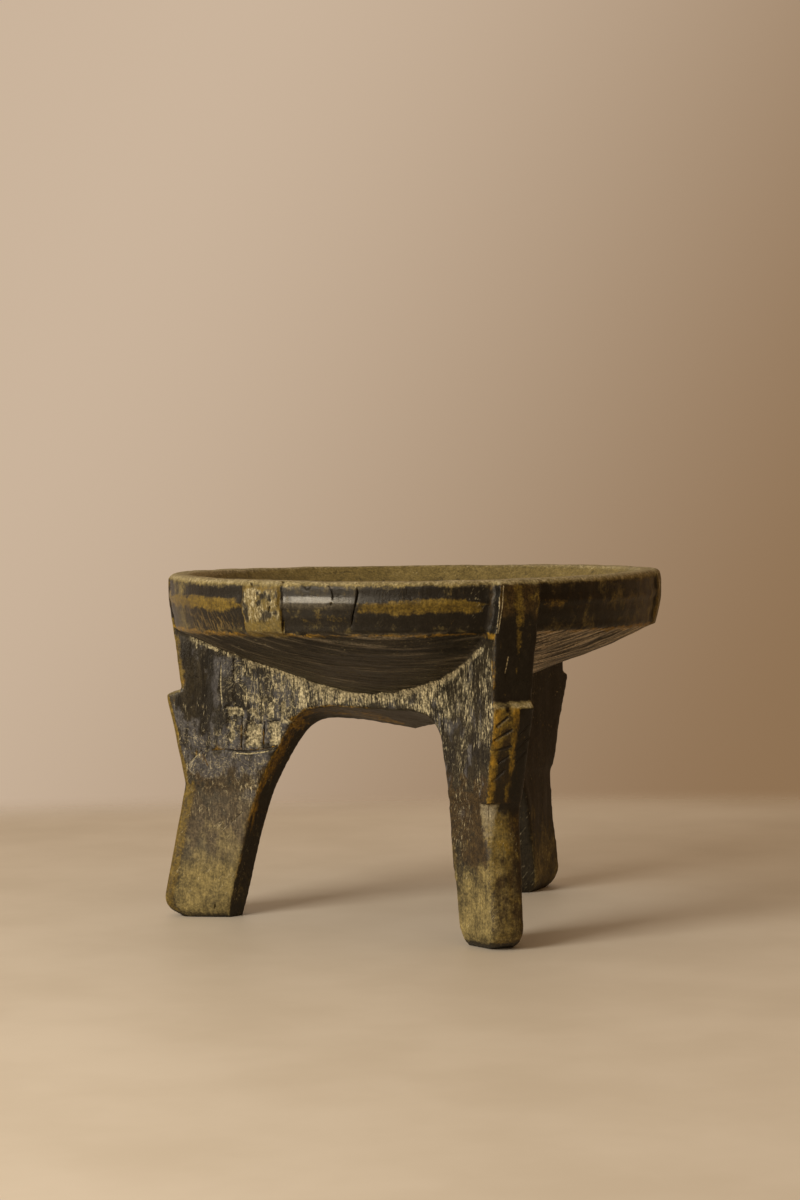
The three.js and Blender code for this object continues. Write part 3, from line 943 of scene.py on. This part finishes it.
front_flecks = (leg == FRONT) * (0.34 + 0.15 * rise(height, 104, 138))
other_flecks = 0.2 * rise(height, 112, 130) * rise(-out, -112, -96)
other_flecks = (leg != FRONT) * (0.30 + other_flecks)
other_flecks += 0.08 * (leg == LEFT) * close_to(height, 80, 15, 35)
other_flecks *= np.where(leg == RIGHT, 0.4, 1)
web_strip = rise(-out, -88, -66) * rise(height, 114, 124)
web_strip *= np.where(leg == FRONT, 0.54, 0.6)
open_grain = side * np.maximum(front_flecks + other_flecks, web_strip)
paint(fleck=open_grain * rise(height, 38, 62))

on_left_side = (leg == LEFT) * (aside > 0) * side
paint(haze=0.32 * on_left_side * close_to(height, 58, 12, 34))
split = on_split_blocks() * side
paint(crackle=on_left_side * rise(-out, -118, -108) * close_to(height, 142, 26, 34))
faint_crackle = 0.35 * side * (leg != FRONT) * close_to(height, 135, 15, 30) * (out < 120)
paint(crackle=faint_crackle)
paint(crackle=0.7 * on_left_side * close_to(height, 96, 14, 30) * covers(0.6, blotches))
paint(bare=split * (0.58 + 0.3 * small))
wall = fall(np.abs(at.faces_up), 0.5, 0.9)
drift = 2.9 + 3.5 * small * rise(-radius, -140, -70)
dust_line = wall * fall(gap - drift, -0.5, 1.5) * (gap > -1) * (1 - outer)
dust_line *= rise(-radius, -150, -132)
paint(bare=dust_line * (0.2 + 0.4 * small))
paint(fleck=0.62 * dust_line)
paint(bare=0.9 * in_scratch)
print("side share", round(float(side.mean()), 3))

# %% [markdown]
# ## Edges and feet
#
# Handled edges are worn to amber and gold in broken lines, more on the left leg, whose outer
# corner is rubbed in one golden strip. The feet fade into mottled khaki dust.

# %% Paint the edges and the feet
worn = ridge * (side + inner) * rise(height, 30, 70) * (1 - split)
worn *= (1 - under) * (out > 60) * (1 - bevelled)
worn *= np.where(on_left_side * (height > 98) * (out < 124) > 0, 0.1, 1)
worn *= np.where((leg == FRONT) & (height > 36) & (height < 86) & (aside < -9), 0, 1)
most_worn = covers(np.choose(leg, [0.25, 0.2, 0.4]) * worn, small)
paint(orange=0.6 * most_worn * (worn > 0))
arch_edge = close_to(height, 92, 28, 45) * (leg == LEFT) * rise(aside, 3, 11)
arch_lines = ranked(at.wander_on(np.stack([aside / 2.2, height / 45, out / 45], axis=1)))
paint(orange=inner * arch_edge * covers(0.65, arch_lines, 0.35))
arris = close_to(inner, 0.5, 0.2, 0.5) * (leg == LEFT) * (aside > 0)
arris *= rise(height, 8, 30) * (0.3 + 0.7 * close_to(height, 96, 26, 42))
paint(orange=arris * (0.6 + 0.4 * tall_patches))
wipe(np.clip(4 * at.relax(in_cut, 4), 0, 1), "orange")
knee_corner = ridge * (leg == FRONT) * (aside > 11) * (at.from_edge < 3)
paint(orange=0.8 * knee_corner * close_to(height, 114, 24, 27))
strip = fall(at.from_edge, *np.where(height < KNEE_BOTTOM, [[4.0], [9.0]], [[1.6], [3.8]]))
strip *= (side + outer) * (leg == LEFT) * (height < 186)
paint(gold=strip * (1 - 0.4 * covers(0.3, small)))
wipe(strip, "grey", "haze")
wipe(0.8 * strip, "tar", "fleck")

foot = fall(height, 0, 102)
foot_pattern = ranked(blotches + 0.8 * tall_patches + 0.8 * small)
foot_dust = side + outer + inner
foot_dust *= 0.34 * foot + 0.38 * covers(foot, foot_pattern, 0.5)
foot_dust *= (1 - 0.7 * bevelled * rise(height, 50, 70)) * (1 - 0.65 * strip)
foot_dust *= (np.where(inner > 0.5, 0.25, 1) * (1 - 0.3 * (outer > 0.5))
              * np.choose(leg, [1, 0.7, 1]))
paint(khaki=np.maximum(foot_dust, np.maximum(seat_dust_and_painted_light, 0.9 * ledge_dust)))
wipe(0.8 * foot * inner, "tar")
paint(tar=0.35 * inner)
crevices = boss_core * covers(0.3, ranked(tall_patches + small)) * rise(height, 185, 192)
# Dark in cuts, hollows and crevices, and a painted shadow under the knee.
dirt_and_painted_shadow = np.clip(in_cut + 0.5 * hollow * covers(0.7, small) + 0.8 * painted_shadow_under_knee + 0.7 * crevices, 0, 1)
dirt_and_painted_shadow *= (1 - 0.8 * in_scratch) * (1 - 0.8 * dust_line) * (1 - bevelled)
paint(dark=dirt_and_painted_shadow * (1 - 0.8 * ledge))
paint(bare=0.3 * bevelled * rise(height, 54, 76))
paint(bare=0.4 * ledge_dust)
# Painted light on the dish's left and a painted highlight on the rim's top.
paint(bare=0.46 * rim_top + 0.36 * dish * rise(leftwards, 40, 120))
polish = waxy * fall(height, 203, 207) * (0.72 + 0.28 * flat_small)
polish *= 0.5 + 0.5 * rise(height, 190, 198)
polish += 0.25 * band * (1 - upper_edge) + 0.4 * spine + 0.3 * knee
polish *= 1 - sector(260, 268) * band
polish += 0.5 * on_left_side * rise(out, 122, 130) * close_to(height, 150, 40, 50)
paint(polish=polish * (1 - boss_share))

for name, share in shares.items():
    share = np.clip(share, 0, 1)
    skin.attributes.new(name, "FLOAT", "POINT").data.foreach_set("value", share)
    print("painted", name, round(float(share.mean()), 2))

# %% [markdown]
# ## The aged wood
#
# Old polished hardwood is nearly black where its waxy skin is whole, ochre where hands rub it,
# dusty cream where the grain has opened, and pale khaki where the feet stood in dust. An
# image could show that, but here each tone is a colour mixed in by its painted share, one
# over the other. Noise stretched along the grain, which runs upright in the block, frays the
# patches. The same noise opens the grain as bump.

# %% Make the patterns of the wood
aged = bpy.data.materials.new("aged_hardwood")
aged.use_nodes = True
recipe = Recipe(aged.node_tree)
node, feed, calculate, ramp = recipe.node, recipe.feed, recipe.calculate, recipe.ramp
blend, cloud, drawn_out = recipe.blend, recipe.cloud, recipe.drawn_out
place = node("ShaderNodeTexCoord").outputs["Object"]


def painted(tone):
    """The painted share of one tone."""
    return node("ShaderNodeAttribute", attribute_name=tone).outputs["Fac"]


def spread(noise_value, gain):
    """Noise keeps close to a half, so it is stretched to use the whole range."""
    centred = calculate("SUBTRACT", noise_value, 0.5)
    return calculate("MULTIPLY_ADD", centred, gain, 0.5)


def frayed(share, pattern, softness=0.38):
    """The pattern pushes the border of a painted patch to and fro, and leaves a few specks outside."""
    level = calculate("MULTIPLY_ADD", share, 1.5, ramp(pattern, 0, 1.15, -0.5, 0.28))
    return ramp(level, max(0.06, 0.5 - softness), 0.5 + softness)


def part_of(share, amount):
    return calculate("MULTIPLY", share, amount)


def mixed(first, *others):
    """The sum of some patterns, each given with its weight."""
    total = part_of(*first)
    for pattern, weight in others:
        total = calculate("MULTIPLY_ADD", pattern, weight, total)
    return total


def most(share, *others):
    """The greatest of some shares."""
    for other in others:
        share = calculate("MAXIMUM", share, other)
    return share


def laid_over(tone, share, pattern, dark, light):
    """The tone so far with a mottled one over it."""
    return blend(share, tone, blend(pattern, dark, light))


grooves = node("ShaderNodeAttribute", attribute_name="grooves").outputs["Vector"]
upright = drawn_out(place, (0, 0, 1), 6)
clouds = spread(cloud(place, 60, 6, 0.7), 2.8)
mottle = spread(cloud(place, 230, 5, 0.75), 2.9)
speckle = spread(cloud(place, 720, 3, 0.7), 3)
grain = spread(cloud(upright, 430, 6, 0.85, 0.5), 2.7)
fine_grain = spread(cloud(upright, 1200, 3, 0.65), 2.7)
bark = spread(cloud(drawn_out(place, (0, 0, 1), 3), 330, 5, 0.7, 0.6), 2.4)
curls = cloud(drawn_out(place, (0, 0, 1), 1.3), 165, 3, 0.55, 1.6)
off_middle = calculate("ABSOLUTE", calculate("SUBTRACT", curls, 0.5))
curl_lines = ramp(off_middle, 0, 0.04, 1, 0)
scuffs = ramp(cloud(drawn_out(place, (0.5, -0.4, 0.75), 10), 1100, 2, 0.5), 0.62, 0.7)
scuffs = part_of(scuffs, ramp(clouds, 0.35, 0.75))
scuffs = part_of(scuffs, ramp(painted("polish"), 0, 0.3, 1, 0))
slants = ramp(cloud(drawn_out(place, (0.08, -0.44, -1), 9), 640, 3, 0.6), 0.48, 0.62)
blade_lines = spread(cloud(grooves, 520, 4, 0.65), 2.9)
print("patterns", len(aged.node_tree.nodes), "nodes")

# %% [markdown]
# ## Laying the tones over each other
#
# The order is that of a real surface: bare brown wood, the dark skin and its bloom (partly a
# painted reflection), the worn golden and olive patches, then dust, open grain and dirt on top.
# The haze and bare tones also carry painted light and highlights, and the dark tone a painted
# shadow. Any order would mix, but this one lets dirt lie in a golden edge and dust over the
# dark skin. Hard tones are frayed by specks, and the rubbed and dusty ones by soft smudges, or
# they would look like sandpaper.

# %% Mix the wood
fray = spread(mixed((clouds, 0.25), (mottle, 0.5), (speckle, 0.25)), 1.3)
smudges = spread(mixed((mottle, 0.32), (clouds, 0.4), (grain, 0.28)), 1.4)
gilding = spread(mixed((smudges, 0.78), (speckle, 0.22)), 1.2)
dust = mixed((smudges, 0.85), (speckle, 0.15))
powder = mixed((spread(dust, 1.1), 0.75), (painted("khaki"), 0.25))
rubbed = spread(mixed((smudges, 0.4), (grain, 0.6)), 1.3)
haziness = mixed((clouds, 0.6), (mottle, 0.4))

# Each tone: the pattern and softness of its border, its strength, then its own pattern and
# its darkest and lightest colour.
TONES = [
    ("rust", fray, 0.38, 0.75, mottle, (0.014, 0.0075, 0.0018), (0.055, 0.03, 0.007)),
    ("grey", fray, 0.5, 0.85, haziness, (0.022, 0.0215, 0.0235), (0.096, 0.09, 0.083)),
    ("tar", fray, 0.38, 1, mottle, (0.001, 0.0008, 0.0006), (0.0066, 0.005, 0.003)),
    ("olive", smudges, 0.55, 1, dust, (0.062, 0.044, 0.01), (0.2, 0.148, 0.045)),
    ("gold", gilding, 0.6, 1, gilding, (0.022, 0.012, 0.001), (0.165, 0.106, 0.014)),
    ("khaki", smudges, 0.6, 1, powder, (0.032, 0.022, 0.006), (0.275, 0.208, 0.072)),
    ("orange", rubbed, 0.55, 1, rubbed, (0.024, 0.01, 0.0008), (0.3, 0.165, 0.013)),
]
tone = blend(mottle, (0.004, 0.003, 0.0016, 1), (0.026, 0.0195, 0.009, 1))
for name, border, softness, strength, pattern, dark, light in TONES:
    share = part_of(frayed(painted(name), border, softness), strength)
    tone = laid_over(tone, share, pattern, (*dark, 1), (*light, 1))
# The haze tone is dust in some places and a painted highlight round the band's highlight in others.
haze_share = part_of(painted("haze"), ramp(mottle, -0.3, 1, 0.5, 1))
tone = blend(haze_share, tone, (0.165, 0.135, 0.085, 1))
tone = blend(part_of(painted("strokes"), slants), tone, (0.11, 0.07, 0.018, 1))
adzed = painted("adzed")
tone = laid_over(
    tone, part_of(adzed, ramp(blade_lines, 0.25, 0.95)), ramp(adzed, 0.6, 1),
    (0.16, 0.128, 0.078, 1), (0.56, 0.44, 0.28, 1))
print("rubbed tones", len(aged.node_tree.nodes), "nodes")

# %% Open the grain and add the dirt and the painted shadow
fleck_pattern = mixed((fine_grain, 0.52), (grain, 0.28), (bark, 0.2))
fleck_share = part_of(painted("fleck"), ramp(clouds, 0, 1, 0.5, 1))
flecks = frayed(fleck_share, fleck_pattern, 0.16)
crackles = part_of(part_of(curl_lines, painted("crackle")), ramp(mottle, 0.2, 0.6))
# Bare wood, and painted light on the dish and the rim.
bare_share = frayed(painted("bare"), mixed((mottle, 0.4), (grain, 0.6)))
opened = most(flecks, crackles, bare_share, part_of(scuffs, 0.55))
tone = laid_over(
    tone, opened, mixed((bark, 0.5), (speckle, 0.5)),
    (0.115, 0.088, 0.038, 1), (0.52, 0.44, 0.25, 1))
# The dark tone: dirt, and a painted shadow under the knee.
dirt_and_shadow_share = part_of(frayed(painted("dark"), bark, 0.45), 0.95)
tone = blend(dirt_and_shadow_share, tone, (0.0045, 0.0032, 0.0022, 1))

smooth_skin = most(painted("olive"), painted("gold"), painted("khaki"))
grit = ramp(spread(mixed((speckle, 0.6), (fine_grain, 0.4)), 1.4), 0, 1, -0.58, 0.5)
grit = part_of(grit, ramp(smooth_skin, 0.1, 0.8, 1, 0.5))
gritty = node("ShaderNodeVectorMath", operation="SCALE")
feed(gritty.inputs[0], tone)
feed(gritty.inputs["Scale"], calculate("ADD", grit, 1))
tone = gritty.outputs[0]
print("tones", len(aged.node_tree.nodes), "nodes")

# %% [markdown]
# ## Sheen and relief
#
# The waxy skin has a soft gloss that gives the band its one narrow highlight, and dust and
# open grain have none. So roughness follows the tones, and so does the bump: polished
# places are nearly smooth, and open grain stands out.

# %% Finish the material
polish = painted("polish")
dusty = most(opened, part_of(painted("khaki"), 0.8), painted("haze"))
roughness = calculate("MULTIPLY_ADD", gilding, 0.2, 0.38)
roughness = calculate("MULTIPLY_ADD", polish, -0.29, roughness)
roughness = calculate("MULTIPLY_ADD", dusty, 0.34, roughness)
relief = mixed((grain, 0.5), (opened, 0.9), (speckle, 0.3), (adzed, blade_lines))
relief = part_of(relief, ramp(polish, 0, 1, 1, 0.25))
bump = node("ShaderNodeBump")
bump.inputs["Strength"].default_value = 0.6
bump.inputs["Distance"].default_value = 0.4 * MM
feed(bump.inputs["Height"], relief)

wood = node("ShaderNodeBsdfPrincipled")
feed(wood.inputs["Base Color"], tone)
feed(wood.inputs["Roughness"], roughness)
feed(wood.inputs["Normal"], bump.outputs[0])
wood.inputs["Specular IOR Level"].default_value = 0.32
wood.inputs["Specular Tint"].default_value = (1, 0.89, 0.7, 1)
feed(node("ShaderNodeOutputMaterial").inputs["Surface"], wood.outputs[0])
skin.materials.clear()
skin.materials.append(aged)
print("wood nodes", len(aged.node_tree.nodes))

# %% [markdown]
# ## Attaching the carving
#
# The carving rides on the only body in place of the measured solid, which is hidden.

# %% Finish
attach(carving, "root")
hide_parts("stool")
